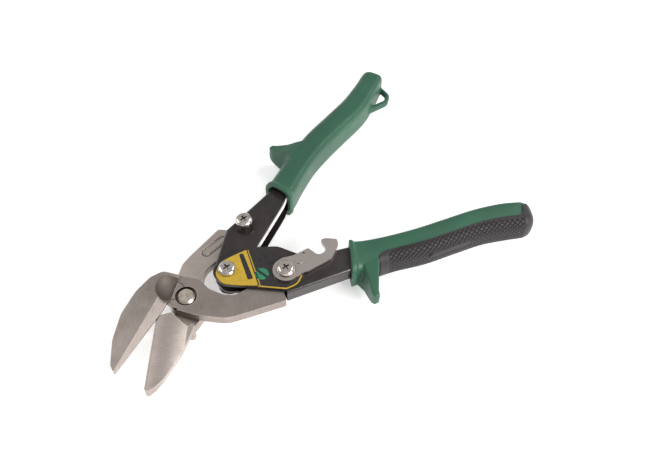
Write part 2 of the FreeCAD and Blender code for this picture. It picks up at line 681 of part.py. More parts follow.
LABEL = [
    (18.9, 3.4, 4.6), (19.0, -5.4, 5.0), (31.8, -17.4, 8.0), (42.0, -26.9, 1.0), (48.4, -27.6, 6.0),
    (53.6, -24.4, 0.5), (52.0, -12.0, 1.0), (39.0, 4.2, 1.0), (28.6, 5.2, 10.0),
]


def make_label():
    label = new_piece("head_label")
    plate(label, "film", LABEL, at("Sizes.lower_flange_top"), "Sizes.label_thickness")
    top = at("Sizes.lower_flange_top + Sizes.label_thickness")
    bore(label, "hinge_window", HINGE, "Sizes.screw_head_radius + 0.15", top, "Sizes.label_thickness")
    bore(label, "joint_window", LOWER_JOINT, "5.8", top, "Sizes.label_thickness")


make_left_blade()
make_right_blade()
make_lower_channel()
make_upper_channel()
make_fasteners()
make_latch()
make_spring()
make_grip("upper_grip", 1, UPPER_GUARD, UPPER_CAVITY, "upper", "-17")
make_grip("lower_grip", -1, LOWER_GUARD, LOWER_CAVITY, "lower", "-6.5")
make_label()
doc.recompute()


# ---------------------------------------------------------------- checks and export

def check(objects):
    for item in doc.Objects:
        if "Invalid" in item.State or "Error" in item.State:
            raise RuntimeError(f"{item.Name} did not compute")
    for item in objects:
        shape = item.Shape
        if shape.isNull() or not shape.isValid():
            raise RuntimeError(f"{item.Label} has no valid shape")
        print(f"{item.Label}: {len(shape.Solids)} solid, {shape.Volume:.0f} mm3")


def export(objects):
    os.makedirs("parts", exist_ok=True)
    for item in objects:
        item.Shape.exportStep(f"parts/{item.Label}.step")


check(pieces)
export(pieces)
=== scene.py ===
import math

import bmesh
import bpy
import numpy as np
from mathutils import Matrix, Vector


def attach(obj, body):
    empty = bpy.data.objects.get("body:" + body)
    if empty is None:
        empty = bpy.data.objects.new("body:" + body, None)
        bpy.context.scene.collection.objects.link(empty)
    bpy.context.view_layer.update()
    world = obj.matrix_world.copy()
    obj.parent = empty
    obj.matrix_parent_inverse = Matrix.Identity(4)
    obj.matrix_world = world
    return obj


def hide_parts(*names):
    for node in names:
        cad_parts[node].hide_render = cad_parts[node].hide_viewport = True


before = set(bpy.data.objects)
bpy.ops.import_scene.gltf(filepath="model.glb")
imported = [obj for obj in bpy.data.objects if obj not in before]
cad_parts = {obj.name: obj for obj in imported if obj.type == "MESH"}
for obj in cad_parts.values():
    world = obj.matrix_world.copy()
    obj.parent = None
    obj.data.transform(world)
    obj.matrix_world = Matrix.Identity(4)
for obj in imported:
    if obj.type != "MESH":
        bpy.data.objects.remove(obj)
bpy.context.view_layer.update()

MM = 0.001
PLANE = 10.5                    # height of the face where the blades meet, mm
LABEL_FACE = PLANE + 7.2        # top of the lower handle's head


# ---------------------------------------------------------------- node materials

class Material:
    """A principled material that is built up from procedural nodes."""

    def __init__(self, name, metallic=0.0, roughness=0.5, **sockets):
        self.material = bpy.data.materials.new(name)
        self.material.use_nodes = True
        self.tree = self.material.node_tree
        self.shader = self.tree.nodes["Principled BSDF"]
        self.shader.inputs["Metallic"].default_value = metallic
        self.shader.inputs["Roughness"].default_value = roughness
        for socket, value in sockets.items():
            self.shader.inputs[socket.replace("_", " ")].default_value = value
        self.coords = self.node("ShaderNodeTexCoord").outputs["Object"]
        self.height = None

    def node(self, kind, **settings):
        node = self.tree.nodes.new(kind)
        for key, value in settings.items():
            setattr(node, key, value)
        return node

    def feed(self, node, index, value):
        if isinstance(value, bpy.types.NodeSocket):
            self.tree.links.new(value, node.inputs[index])
        else:
            node.inputs[index].default_value = value

    def math(self, operation, *values, clamp=False):
        node = self.node("ShaderNodeMath", operation=operation, use_clamp=clamp)
        for index, value in enumerate(values):
            self.feed(node, index, value)
        return node.outputs[0]

    def stretched(self, scale, turn=0.0):
        """Object coordinates turned about Z, then scaled by axis."""
        turned = self.node("ShaderNodeVectorRotate", rotation_type="Z_AXIS")
        self.feed(turned, "Vector", self.coords)
        turned.inputs["Angle"].default_value = math.radians(turn)
        mapped = self.node("ShaderNodeMapping")
        self.feed(mapped, "Vector", turned.outputs[0])
        mapped.inputs["Scale"].default_value = scale
        return mapped.outputs[0]

    def noise(self, scale, detail=3.0, rough=0.55, vector=None):
        node = self.node("ShaderNodeTexNoise")
        self.feed(node, "Vector", vector or self.coords)
        node.inputs["Scale"].default_value = scale
        node.inputs["Detail"].default_value = detail
        node.inputs["Roughness"].default_value = rough
        return node.outputs[0]

    def span(self, value, low, high, start=0.0, end=1.0):
        """Maps low..high to start..end, clamped."""
        node = self.node("ShaderNodeMapRange", clamp=True)
        for index, item in enumerate((value, low, high, start, end)):
            self.feed(node, index, item)
        return node.outputs[0]

    def blend(self, share, first, second):
        node = self.node("ShaderNodeMix", data_type="RGBA")
        self.feed(node, 0, share)
        for index, item in ((6, first), (7, second)):
            self.feed(node, index, item if isinstance(item, bpy.types.NodeSocket) else (*item, 1.0))
        return node.outputs[2]

    def edges(self, radius, gain):
        """White along the convex and concave edges of the mesh."""
        soft = self.node("ShaderNodeBevel", samples=6)
        soft.inputs["Radius"].default_value = radius * MM
        hard = self.node("ShaderNodeNewGeometry")
        dot = self.node("ShaderNodeVectorMath", operation="DOT_PRODUCT")
        self.feed(dot, 0, soft.outputs[0])
        self.feed(dot, 1, hard.outputs["Normal"])
        away = self.math("SUBTRACT", 1.0, dot.outputs["Value"])
        return self.math("MULTIPLY", away, gain, clamp=True)

    def open_air(self, reach):
        """1 on open faces, less in recesses and corners."""
        node = self.node("ShaderNodeAmbientOcclusion", samples=6)
        node.inputs["Distance"].default_value = reach * MM
        return node.outputs["AO"]

    def bump(self, height, distance, strength=1.0):
        node = self.node("ShaderNodeBump")
        node.inputs["Distance"].default_value = distance * MM
        node.inputs["Strength"].default_value = strength
        self.feed(node, "Height", height)
        if self.height is not None:
            self.feed(node, "Normal", self.height)
        self.height = node.outputs[0]
        self.feed(self.shader, "Normal", self.height)

    def color(self, value):
        self.feed(self.shader, "Base Color", value)

    def roughness(self, value):
        self.feed(self.shader, "Roughness", value)

    def axis(self, name):
        split = self.node("ShaderNodeSeparateXYZ")
        self.feed(split, 0, self.coords)
        return split.outputs[name]


def ground_steel(name, grain_turn, dark, light, edge, rough=(0.36, 0.52)):
    """Forged blade steel with fine grinding lines, soft stains, a painted highlight along the edges and
    painted shade in recesses.
    """
    m = Material(name, metallic=1.0)
    cloud = m.noise(55.0, 4.0)
    lines = m.noise(1.0, 2.0, vector=m.stretched((260.0, 4200.0, 900.0), grain_turn))
    pits = m.noise(2600.0, 2.0, 0.7)
    tone = m.math("ADD", m.math("MULTIPLY", cloud, 0.62), m.math("MULTIPLY", lines, 0.38))
    base = m.blend(m.span(tone, 0.34, 0.66), dark, light)
    # Painted highlight: the edges are lightened towards the edge colour, broken up by noise.
    edge_highlight = m.math("MULTIPLY", m.edges(0.4, 9.0), m.span(m.noise(420.0, 3.0), 0.35, 0.6, 0.35, 1.0))
    base = m.blend(edge_highlight, base, edge)
    # Painted shade: recesses and corners are darkened by the ambient occlusion mask.
    recess_shade = m.span(m.open_air(2.4), 0.35, 0.85, 0.75, 0.0)
    m.color(m.blend(recess_shade, base, (0.045, 0.038, 0.034)))
    m.roughness(m.span(tone, 0.3, 0.7, rough[1], rough[0]))
    m.bump(lines, 0.020, 0.55)
    m.bump(pits, 0.012, 0.35)
    return m


def make_left_blade_steel():
    """The left blade's steel, duller (rougher) in the bowl that is cut beside the bolt plate, where painted
    shade also darkens it.
    """
    m = ground_steel("left_blade_steel", -50.0, (0.25, 0.216, 0.198), (0.43, 0.375, 0.345),
                     (0.86, 0.76, 0.70))
    reach = m.node("ShaderNodeVectorMath", operation="DISTANCE")
    m.feed(reach, 0, m.coords)
    reach.inputs[1].default_value = (-2.97 * MM, 6.09 * MM, (PLANE + 14.0) * MM)
    off_bowl = m.math("ABSOLUTE", m.math("SUBTRACT", reach.outputs["Value"], 10.0 * MM))
    bowl = m.span(off_bowl, 0.08 * MM, 0.3 * MM, 0.8, 0.0)
    base = m.shader.inputs["Base Color"].links[0].from_socket
    # Painted shade: the bowl's surface, 10 mm from the point above, is darkened.
    m.color(m.blend(bowl, base, (0.125, 0.105, 0.092)))
    shine = m.shader.inputs["Roughness"].links[0].from_socket
    m.roughness(m.math("ADD", shine, m.math("MULTIPLY", bowl, 0.28)))
    return m


def stamped_outline(m, centre, turn, half_length, radius):
    """Signed distance, in metres, from the rim of a stamped oval with a level long side."""
    spot = m.node("ShaderNodeVectorMath", operation="SUBTRACT")
    m.feed(spot, 0, m.coords)
    spot.inputs[1].default_value = (centre[0] * MM, centre[1] * MM, 0.0)
    turned = m.node("ShaderNodeVectorRotate", rotation_type="Z_AXIS")
    m.feed(turned, "Vector", spot.outputs[0])
    turned.inputs["Angle"].default_value = math.radians(-turn)
    split = m.node("ShaderNodeSeparateXYZ")
    m.feed(split, 0, turned.outputs[0])
    past_middle = m.math("SUBTRACT", m.math("ABSOLUTE", split.outputs[0]), half_length * MM)
    beyond = m.math("MAXIMUM", past_middle, 0.0)
    square = m.math("ADD", m.math("POWER", beyond, 2.0), m.math("POWER", split.outputs[1], 2.0))
    reach = m.math("SQRT", square)
    return m.math("ABSOLUTE", m.math("SUBTRACT", reach, radius * MM))


def make_right_blade_steel():
    m = ground_steel("right_blade_steel", 28.0, (0.37, 0.322, 0.292), (0.62, 0.545, 0.50),
                     (0.88, 0.79, 0.73))
    rim = stamped_outline(m, (29.2, 20.4), 9.0, 5.6, 2.3)
    inner = stamped_outline(m, (29.2, 20.4), 9.0, 5.6, 1.5)
    groove = m.math("MINIMUM", m.span(rim, 0.00010, 0.00036), m.span(inner, 0.00006, 0.00020, 0.45, 1.0))
    m.bump(groove, 0.28, 0.9)
    # Painted shade: the stamped oval's rim line, and more faintly its inner line, are darkened; the same mask
    # bumps the surface.
    base = m.shader.inputs["Base Color"].links[0].from_socket
    m.color(m.blend(groove, (0.13, 0.115, 0.105), base))
    return m


def make_black_coat(name, bare_edges):
    """Glossy black enamel; a sheared sheet edge can show bare steel."""
    m = Material(name, roughness=0.3, Coat_Weight=0.35, Coat_Roughness=0.12)
    cloud = m.noise(90.0, 4.0)
    peel = m.noise(900.0, 2.0)
    base = m.blend(m.span(cloud, 0.35, 0.65), (0.0150, 0.0105, 0.0105), (0.025, 0.0185, 0.0185))
    streaks = m.noise(1.0, 3.0, vector=m.stretched((240.0, 2400.0, 400.0), -17.0))
    scuffs = m.span(streaks, 0.66, 0.74, 0.0, 0.35)
    base = m.blend(scuffs, base, (0.12, 0.105, 0.10))
    # Edges are lightened with noise: partly paint wear, partly a painted highlight along the edges.
    wear_and_edge_highlight = m.math("MULTIPLY", m.edges(0.3, 3.5), m.span(m.noise(300.0, 3.0), 0.42, 0.62, 0.15, 0.8))
    base = m.blend(wear_and_edge_highlight, base, (0.10, 0.088, 0.084))
    if bare_edges:
        geometry = m.node("ShaderNodeNewGeometry")
        split = m.node("ShaderNodeSeparateXYZ")
        m.feed(split, 0, geometry.outputs["Normal"])
        facing = m.math("GREATER_THAN", m.math("MULTIPLY", split.outputs[1], -1.0), 0.45)
        height = m.axis("Z")
        above = m.math("GREATER_THAN", height, (PLANE + 3.8) * MM)
        below = m.math("LESS_THAN", height, (PLANE - 5.45) * MM)
        bare = m.math("MULTIPLY", facing, m.math("MAXIMUM", above, below))
        bare = m.math("MULTIPLY", bare, m.span(m.noise(350.0, 3.0), 0.3, 0.5, 0.65, 1.0))
        base = m.blend(bare, base, (0.78, 0.76, 0.75))
    m.color(base)
    m.roughness(m.span(cloud, 0.3, 0.7, 0.24, 0.38))
    m.bump(peel, 0.02, 0.35)
    return m


def make_nickel(name, dark, light, rough):
    """Bright plated screws with faint turning marks and finger haze."""
    m = Material(name, metallic=1.0)
    haze = m.noise(480.0, 4.0)
    base = m.blend(m.span(haze, 0.35, 0.65), dark, light)
    # Painted shade: recesses such as the cross recess are darkened by the ambient occlusion mask.
    m.color(m.blend(m.span(m.open_air(1.3), 0.45, 0.88, 0.96, 0.0), base, (0.025, 0.02, 0.018)))
    m.roughness(m.span(haze, 0.3, 0.7, rough * 0.8, rough * 1.35))
    m.bump(m.noise(1.0, 2.0, vector=m.stretched((3800.0, 500.0, 900.0), 20.0)), 0.01, 0.35)
    return m


def make_green():
    """Moulded green grip plastic with a fine spark-eroded grain."""
    m = Material("grip_green", roughness=0.46, Specular_IOR_Level=0.5, Sheen_Weight=0.12, Sheen_Roughness=0.5)
    cloud = m.noise(45.0, 4.0)
    grain = m.noise(3300.0, 2.0, 0.65)
    base = m.blend(m.span(cloud, 0.32, 0.68), (0.0095, 0.074, 0.038), (0.0155, 0.096, 0.051))
    # Painted highlight: the grip's edges are lightened to a paler green, broken up by noise.
    edge_highlight = m.math("MULTIPLY", m.edges(0.8, 2.2), m.span(m.noise(160.0, 3.0), 0.4, 0.6, 0.15, 0.6))
    base = m.blend(edge_highlight, base, (0.055, 0.20, 0.12))
    m.color(base)
    m.roughness(m.span(m.noise(140.0, 3.0), 0.3, 0.7, 0.40, 0.54))
    m.bump(grain, 0.045, 0.45)
    return m


def make_rubber():
    """Soft black grip rubber with a painted highlight along its edges and painted shade in its grooves."""
    m = Material("grip_rubber", roughness=0.55, Specular_IOR_Level=0.4, Sheen_Weight=0.1,
                 Sheen_Roughness=0.55)
    cloud = m.noise(120.0, 4.0)
    base = m.blend(m.span(cloud, 0.3, 0.7), (0.0125, 0.009, 0.0108), (0.0225, 0.017, 0.020))
    groove = m.node("ShaderNodeAttribute", attribute_name="groove").outputs["Fac"]
    # Painted highlight: the rubber's edges are lightened.
    rubber_edge_highlight = m.math("MULTIPLY", m.edges(0.35, 2.5), 0.5)
    base = m.blend(rubber_edge_highlight, base, (0.078, 0.063, 0.070))
    # Painted shade: the groove attribute darkens the diamond grooves and a line round the blank plate.
    m.color(m.blend(groove, base, (0.003, 0.002, 0.003)))
    m.roughness(m.span(cloud, 0.3, 0.7, 0.46, 0.62))
    m.bump(m.noise(3600.0, 2.0), 0.03, 0.5)
    return m


def make_print(name, dark, light, rough=0.3):
    """Glossy printed film with slight ink mottling and scuffed spots."""
    m = Material(name, roughness=rough, Coat_Weight=0.5, Coat_Roughness=0.1)
    ink = m.noise(700.0, 4.0)
    m.color(m.blend(m.span(ink, 0.35, 0.65), dark, light))
    m.roughness(m.span(m.noise(160.0, 3.0), 0.3, 0.7, rough * 0.8, rough * 1.3))
    m.bump(m.noise(1500.0, 2.0), 0.008, 0.3)
    return m


def make_floor():
    m = Material("floor_paper", roughness=0.85, Specular_IOR_Level=0.2)
    m.color(m.blend(m.span(m.noise(5.0, 3.0), 0.4, 0.6), (0.86, 0.86, 0.86), (0.90, 0.90, 0.90)))
    m.bump(m.noise(900.0, 2.0), 0.01, 0.1)
    m.shader.inputs["Emission Color"].default_value = (1.0, 1.0, 1.0, 1.0)
    m.shader.inputs["Emission Strength"].default_value = 0.42
    return m


MATERIALS = {
    "left_steel": make_left_blade_steel(),
    "right_steel": make_right_blade_steel(),
    "latch_steel": ground_steel("latch_steel", 24.0, (0.48, 0.43, 0.40), (0.70, 0.63, 0.595),
                                (0.95, 0.90, 0.87), (0.28, 0.40)),
    "spring_steel": ground_steel("spring_steel", 0.0, (0.20, 0.19, 0.19), (0.36, 0.35, 0.35),
                                 (0.6, 0.6, 0.6)),
    "zinc": ground_steel("nut_zinc", 10.0, (0.42, 0.41, 0.40), (0.62, 0.61, 0.59),
                         (0.9, 0.9, 0.88), (0.3, 0.44)),
    "coat": make_black_coat("black_coat", False),
    "coat_bare": make_black_coat("black_coat_bare_edge", True),
    "nickel": make_nickel("screw_nickel", (0.62, 0.56, 0.51), (0.86, 0.80, 0.74), 0.17),
    "bolt": make_nickel("bolt_nickel", (0.56, 0.48, 0.41), (0.72, 0.63, 0.54), 0.30),
    "green": make_green(),
    "rubber": make_rubber(),
    "yellow": make_print("print_yellow", (0.42, 0.275, 0.018), (0.51, 0.34, 0.028)),
    "black_print": make_print("print_black", (0.010, 0.009, 0.009), (0.022, 0.019, 0.019)),
    "green_print": make_print("print_green", (0.014, 0.16, 0.075), (0.026, 0.215, 0.105)),
    "floor": make_floor(),
}

NODE_MATERIALS = {
    "left_blade": "left_steel",
    "right_blade": "right_steel",
    "lower_handle_channel": "coat",
    "upper_handle_channel": "coat_bare",
    "main_pivot_bolt": "bolt",
    "main_pivot_washer": "zinc",
    "main_pivot_nut": "zinc",
    "handle_hinge_nut": "zinc",
    "handle_hinge_spacer": "zinc",
    "latch_screw_nut": "zinc",
    "upper_handle_nut": "zinc",
    "upper_tail_spacer": "zinc",
    "latch_washer": "zinc",
    "handle_hinge_screw": "nickel",
    "latch_screw": "nickel",
    "upper_handle_screw": "nickel",
    "latch": "latch_steel",
    "return_spring": "spring_steel",
}

# Rounding of the edges, in mm, on the pieces that keep their shape.
EDGE_ROUNDING = {
    "left_blade": 0.22,
    "right_blade": 0.22,
    "lower_handle_channel": 0.28,
    "upper_handle_channel": 0.22,
    "latch": 0.2,
    "main_pivot_bolt": 0.12,
    "main_pivot_nut": 0.25,
    "handle_hinge_nut": 0.2,
    "latch_screw_nut": 0.2,
    "upper_handle_nut": 0.2,
}


def finish_cad_nodes():
    for node, name in NODE_MATERIALS.items():
        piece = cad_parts[node]
        for slot in piece.material_slots:
            slot.material = MATERIALS[name].material
        if node in EDGE_ROUNDING:
            bevel = piece.modifiers.new("edge_rounding", "BEVEL")
            bevel.width = EDGE_ROUNDING[node] * MM
            bevel.segments = 3
            bevel.limit_method = "ANGLE"
            bevel.angle_limit = math.radians(20)
            bevel.harden_normals = True


# ---------------------------------------------------------------- mesh helpers

def add_piece(name, verts, faces, material, smooth=True):
    """A mesh piece from points in mm."""
    mesh = bpy.data.meshes.new(name)
    mesh.from_pydata([(x * MM, y * MM, z * MM) for x, y, z in verts], [], faces)
    mesh.materials.append(MATERIALS[material].material)
    if smooth:
        mesh.polygons.foreach_set("use_smooth", [True] * len(mesh.polygons))
    piece = bpy.data.objects.new(name, mesh)
    bpy.context.scene.collection.objects.link(piece)
    mend = bmesh.new()
    mend.from_mesh(mesh)
    bmesh.ops.recalc_face_normals(mend, faces=mend.faces)
    mend.to_mesh(mesh)
    mend.free()
    return piece


def rounded(corners, steps=8):
    """Points of a closed outline given as (x, y, corner radius)."""
    points = []
    count = len(corners)
    for i, (x, y, radius) in enumerate(corners):
        here = Vector((x, y))
        before = (Vector(corners[i - 1][:2]) - here).normalized()
        after = (Vector(corners[(i + 1) % count][:2]) - here).normalized()
        half = before.angle(after) / 2
        if radius <= 0 or half > math.pi / 2 - 0.02:
            points.append((x, y))
            continue
        reach = radius / math.tan(half)
        centre = here + (before + after).normalized() * (radius / math.sin(half))
        start = here + before * reach - centre
        end = here + after * reach - centre
        turn = start.angle_signed(end)
        for k in range(steps + 1):
            angle = -turn * k / steps
            spoke = Vector((start.x * math.cos(angle) - start.y * math.sin(angle),
                            start.x * math.sin(angle) + start.y * math.cos(angle)))
            points.append(tuple(centre + spoke))
    return points


def slab(name, corners, bottom, top, material, soften=0.0):
    """An upright plate with rounded corners and softened rims."""
    points = rounded(corners)
    count = len(points)
    verts = [(x, y, z) for z in (bottom, top) for x, y in points]
    faces = [tuple(range(count))[::-1], tuple(range(count, 2 * count))]
    faces += [(i, (i + 1) % count, count + (i + 1) % count, count + i) for i in range(count)]
    piece = add_piece(name, verts, faces, material, smooth=False)
    if soften > 0:
        bevel = piece.modifiers.new("soft_rim", "BEVEL")
        bevel.width = soften * MM
        bevel.segments = 3
        bevel.limit_method = "ANGLE"
        bevel.angle_limit = math.radians(50)
        bake(piece)
    return piece


def bake(piece):
    """Applies the modifiers to the mesh."""
    bpy.context.view_layer.update()
    graph = bpy.context.evaluated_depsgraph_get()
    mesh = bpy.data.meshes.new_from_object(piece.evaluated_get(graph))
    piece.modifiers.clear()
    piece.data = mesh


def remove(piece):
    """Takes a scratch piece out of the scene."""
    bpy.data.objects.remove(piece, do_unlink=True)


def merge(pieces, name, material, voxel, rounds):
    """One moulded skin over several overlapping closed pieces, with small fillets."""
    joined = bmesh.new()
    for piece in pieces:
        joined.from_mesh(piece.data)
    mesh = bpy.data.meshes.new(name)
    joined.to_mesh(mesh)
    joined.free()
    mesh.materials.append(MATERIALS[material].material)
    skin = bpy.data.objects.new(name, mesh)
    bpy.context.scene.collection.objects.link(skin)
    remesh = skin.modifiers.new("skin", "REMESH")
    remesh.mode = "VOXEL"
    remesh.voxel_size = voxel * MM
    remesh.use_smooth_shade = True
    smooth = skin.modifiers.new("fillets", "SMOOTH")
    smooth.factor = 0.5
    smooth.iterations = rounds
    bake(skin)
    for piece in pieces:
        remove(piece)
    mesh = skin.data
    mesh.materials.clear()
    mesh.materials.append(MATERIALS[material].material)
    mesh.polygons.foreach_set("use_smooth", [True] * len(mesh.polygons))
    return skin


def carve(piece, cutter):
    """Cuts one piece with another and removes the cutter."""
    cut = piece.modifiers.new("cut", "BOOLEAN")
    cut.operation = "DIFFERENCE"
    cut.solver = "EXACT"
    cut.object = cutter
    bake(piece)
    remove(cutter)


# ---------------------------------------------------------------- grips

# Stations along each grip: x, distance from the tool's centre line, half width, half height.
GRIP_MIDDLE = [(100.0, 39.0, 7.5, 8.7), (115.0, 44.5, 7.7, 8.9), (131.0, 48.8, 7.7, 8.7),
               (147.0, 53.2, 7.7, 8.7)]
UPPER_STATIONS = [(73.6, 26.1, 8.3, 9.5), (77.6, 27.4, 8.1, 9.3), (85.0, 31.4, 7.7, 9.0)] + GRIP_MIDDLE + [
    (160.0, 59.2, 7.0, 8.9), (168.0, 63.7, 6.7, 8.6), (174.4, 67.0, 6.3, 8.2)]
LOWER_STATIONS = [(78.6, 31.2, 10.2, 9.5), (82.4, 32.8, 9.2, 9.3), (89.0, 35.2, 8.2, 9.0)] + GRIP_MIDDLE + [
    (160.0, 58.6, 7.9, 8.9), (168.0, 62.9, 7.7, 8.7), (174.2, 66.2, 7.3, 8.2)]


class GripSurface:
    """The skin of a grip, by distance along it from the mouth and angle round it.

    Angle 0 faces away from the other handle, 90 faces up and 180 faces the other handle.
    """

    def __init__(self, stations, side, mouth_heading, tip_round):
        rows = np.array(stations)
        padded = np.vstack([2 * rows[0] - rows[1], rows, 2 * rows[-1] - rows[-2]])
        fine = []
        for i in range(len(rows) - 1):
            p0, p1, p2, p3 = padded[i:i + 4]
            for t in np.linspace(0, 1, 16, endpoint=False):
                fine.append(0.5 * (2 * p1 + (p2 - p0) * t + (2 * p0 - 5 * p1 + 4 * p2 - p3) * t ** 2
                                   + (3 * p1 - p0 - 3 * p2 + p3) * t ** 3))
        fine = np.array(fine + [rows[-1]])
        self.fine = fine
        self.along = np.r_[0, np.cumsum(np.hypot(np.diff(fine[:, 0]), np.diff(fine[:, 1])))]
        self.length = self.along[-1]
        heading = np.arctan2(np.gradient(fine[:, 1]), np.gradient(fine[:, 0]))
        share = np.clip(1 - self.along / 11.0, 0, 1) ** 1.5
        self.heading = heading * (1 - share) + math.radians(mouth_heading) * share
        self.side = side
        self.tip_round = tip_round

    def point(self, along, angle, grow_wide=0.0, grow_tall=0.0):
        """Skin points in mm for arrays of distances and angles."""
        s = np.asarray(along, float)
        a = np.asarray(angle, float)
        x, y, wide, tall = (np.interp(s, self.along, self.fine[:, k]) for k in range(4))
        heading = np.interp(s, self.along, self.heading)
        near_tip = np.clip((s - (self.length - self.tip_round)) / self.tip_round, 0, 1)
        taper = np.sqrt(np.clip(1 - near_tip ** 2.4, 0, 1))
        cos, sin = np.cos(a), np.sin(a)
        # The inner side is squarer than the outer one.
        power = np.where(cos < 0, 2 / 5.0, 2 / 2.7)
        u = (wide + grow_wide) * taper * np.sign(cos) * np.abs(cos) ** power
        crown = np.where(cos < 0, 2 / 5.0, 2 / 2.9)
        v = (tall + grow_tall) * taper * np.sign(sin) * np.abs(sin) ** crown
        px = x - np.sin(heading) * u
        py = self.side * (y + np.cos(heading) * u)
        return np.stack([px, py, PLANE + v], axis=-1)


def grid_faces(rows, columns, closed):
    """Quads over a grid of points; closed joins the last column to the first."""
    faces = []
    for i in range(rows - 1):
        for j in range(columns if closed else columns - 1):
            k = (j + 1) % columns
            faces.append((i * columns + j, i * columns + k, (i + 1) * columns + k, (i + 1) * columns + j))
    return faces


def grip_core(name, surface, rim_width):
    """The closed body of a grip: hollow mouth, raised rim and rounded end."""
    around = 96
    angles = np.linspace(0, 2 * math.pi, around, endpoint=False)
    # Distance along, then growth of the half width and half height.
    mouth = [(8.0, -2.9, -1.9), (1.0, -2.3, -1.3), (0.0, -1.7, -0.9), (-0.3, -0.9, -0.4), (-0.2, 0.0, 0.3),
             (0.2, 0.5, 0.8), (rim_width, 0.7, 0.8), (rim_width + 0.4, 0.1, 0.2)]
    body = [(s, 0.0, 0.0) for s in np.arange(rim_width + 1.0, surface.length - surface.tip_round, 1.2)]
    tip = [(surface.length - surface.tip_round * (1 - math.sin(t)), 0.0, 0.0)
           for t in np.linspace(0, math.pi / 2, 14)]
    rings = mouth + body + tip
    verts = np.concatenate([surface.point(np.full(around, s), angles, wide, tall) for s, wide, tall in rings])
    faces = grid_faces(len(rings), around, True)
    faces.append(tuple(range(around)))
    faces.append(tuple(range((len(rings) - 1) * around, len(rings) * around))[::-1])
    return add_piece(name, verts.tolist(), faces, "green")


def panel_limit(surface, s, reach, spread):
    """How far the rubber reaches round the grip, in radians, at each distance along it."""
    near_tip = np.clip((s - (surface.length - 9.0)) / 8.0, 0, 1)
    return math.radians(reach) + near_tip ** 1.6 * math.radians(spread)


def diamond_pattern(s, b, pitch_along, pitch_round):
    """Height, 0 to 1, of pillowed diamonds between two families of slanted grooves."""
    first = np.abs(((s / pitch_along + b / pitch_round) % 1.0) - 0.5) * 2
    second = np.abs(((s / pitch_along - b / pitch_round) % 1.0) - 0.5) * 2
    edge = 1 - np.maximum(first, second)
    return np.clip(edge / 0.36, 0, 1) ** 0.7


def smooth_step(x, low, high):
    """0 below low, 1 above high and a soft step between them."""
    t = np.clip((x - low) / (high - low), 0, 1)
    return t * t * (3 - 2 * t)


# The rubber's points along and round, and its heights over the grip's skin, in mm.
PANEL_GRID = (440, 150)
PANEL_ROOT = -0.35
PANEL_FACE = 0.65
GROOVE_DEPTH = 0.58
PLATE_RIM = 0.5
PLATE_FACE = 0.05
DIAMOND_PITCH = (3.0, 2.5)


def rubber_panel(name, surface, start, under, over, plate):
    """The rubber over the outer side: smooth margin, cut diamonds and a raised blank plate.

    Under and over give how far it reaches below and above the outermost line, as
    (angle in degrees, further spread over the rounded end). The plate is (distance along,
    distance round from the outermost line, half length, radius).
    """
    rows, columns = PANEL_GRID
    share = np.linspace(-1, 1, columns)
    fall = np.linspace(0, 1, rows)
    # The near end has rounded corners.
    corner = 7.0 * (1 - np.sqrt(np.clip(1 - np.clip((np.abs(share) - 0.62) / 0.38, 0, 1) ** 2, 0, 1)))
    first = start + corner
    s = first[None, :] + (surface.length - 0.02 - first[None, :]) * fall[:, None] ** 0.97
    low = -panel_limit(surface, s, *under)
    high = panel_limit(surface, s, *over)
    angle = low + (high - low) * (share[None, :] + 1) / 2
    base = surface.point(s, angle)
    # Distances round the section from the lower edge, then from the outermost line.
    steps = np.linalg.norm(np.diff(base, axis=1), axis=2)
    around = np.concatenate([np.zeros((rows, 1)), np.cumsum(steps, axis=1)], axis=1)
    total = around[:, -1][:, None]
    zero = np.array([np.interp(0.0, angle[i], around[i]) for i in range(rows)])[:, None]
    b = around - zero
    side_margin = np.minimum(around, total - around)
    margin = np.minimum(np.minimum(side_margin, (s - first[None, :]) * 0.38), (surface.length - 4.5) - s)
    field = smooth_step(margin, 1.9, 2.3)
    # The blank plate is an oval bead in the field.
    plate_s, plate_b, plate_half, plate_radius = plate
    beyond = np.maximum(np.abs(s - plate_s) - plate_half, 0)
    oval = np.hypot(beyond, b - plate_b) - plate_radius
    field = field * smooth_step(oval, 0.35, 0.7)
    rim = 1 - smooth_step(np.abs(oval + 0.45), 0.25, 0.5)
    inside = 1 - smooth_step(oval, -0.25, 0.15)
    diamonds = diamond_pattern(s, b, *DIAMOND_PITCH)
    rise = PANEL_FACE + field * (diamonds - 1) * GROOVE_DEPTH + inside * PLATE_FACE + rim * PLATE_RIM
    normal = np.cross(np.gradient(base, axis=1), np.gradient(base, axis=0))
    normal /= np.maximum(np.linalg.norm(normal, axis=2, keepdims=True), 1e-9)
    outward = np.sign(np.sum(normal * (base - surface.point(s, angle, -6.0, -6.0)), axis=2, keepdims=True))
    normal = normal * np.where(outward == 0, 1, outward)
    border = np.minimum(side_margin, s - first[None, :])
    roll = np.sqrt(np.clip(1 - (1 - np.clip(border / 0.6, 0, 1)) ** 2, 0, 1))
    tip_fade = np.clip(surface.length - s, 0.0, 1.0)
    height = PANEL_ROOT + (rise - PANEL_ROOT) * roll
    points = base + normal * height[..., None] * (0.35 + 0.65 * tip_fade[..., None])
    piece = add_piece(name, points.reshape(-1, 3).tolist(), grid_faces(rows, columns, False), "rubber")
    # Painted shade: the material darkens the grooves and a line round the plate to near black.
    groove = piece.data.attributes.new("groove", "FLOAT", "POINT")
    plate_line = 1 - smooth_step(np.abs(oval - 0.25), 0.15, 0.4)
    shade = field * (1 - smooth_step(diamonds, 0.35, 0.85)) + plate_line * 0.9
    groove.data.foreach_set("value", np.clip(shade, 0, 1).astype(np.float32).ravel())
    return piece


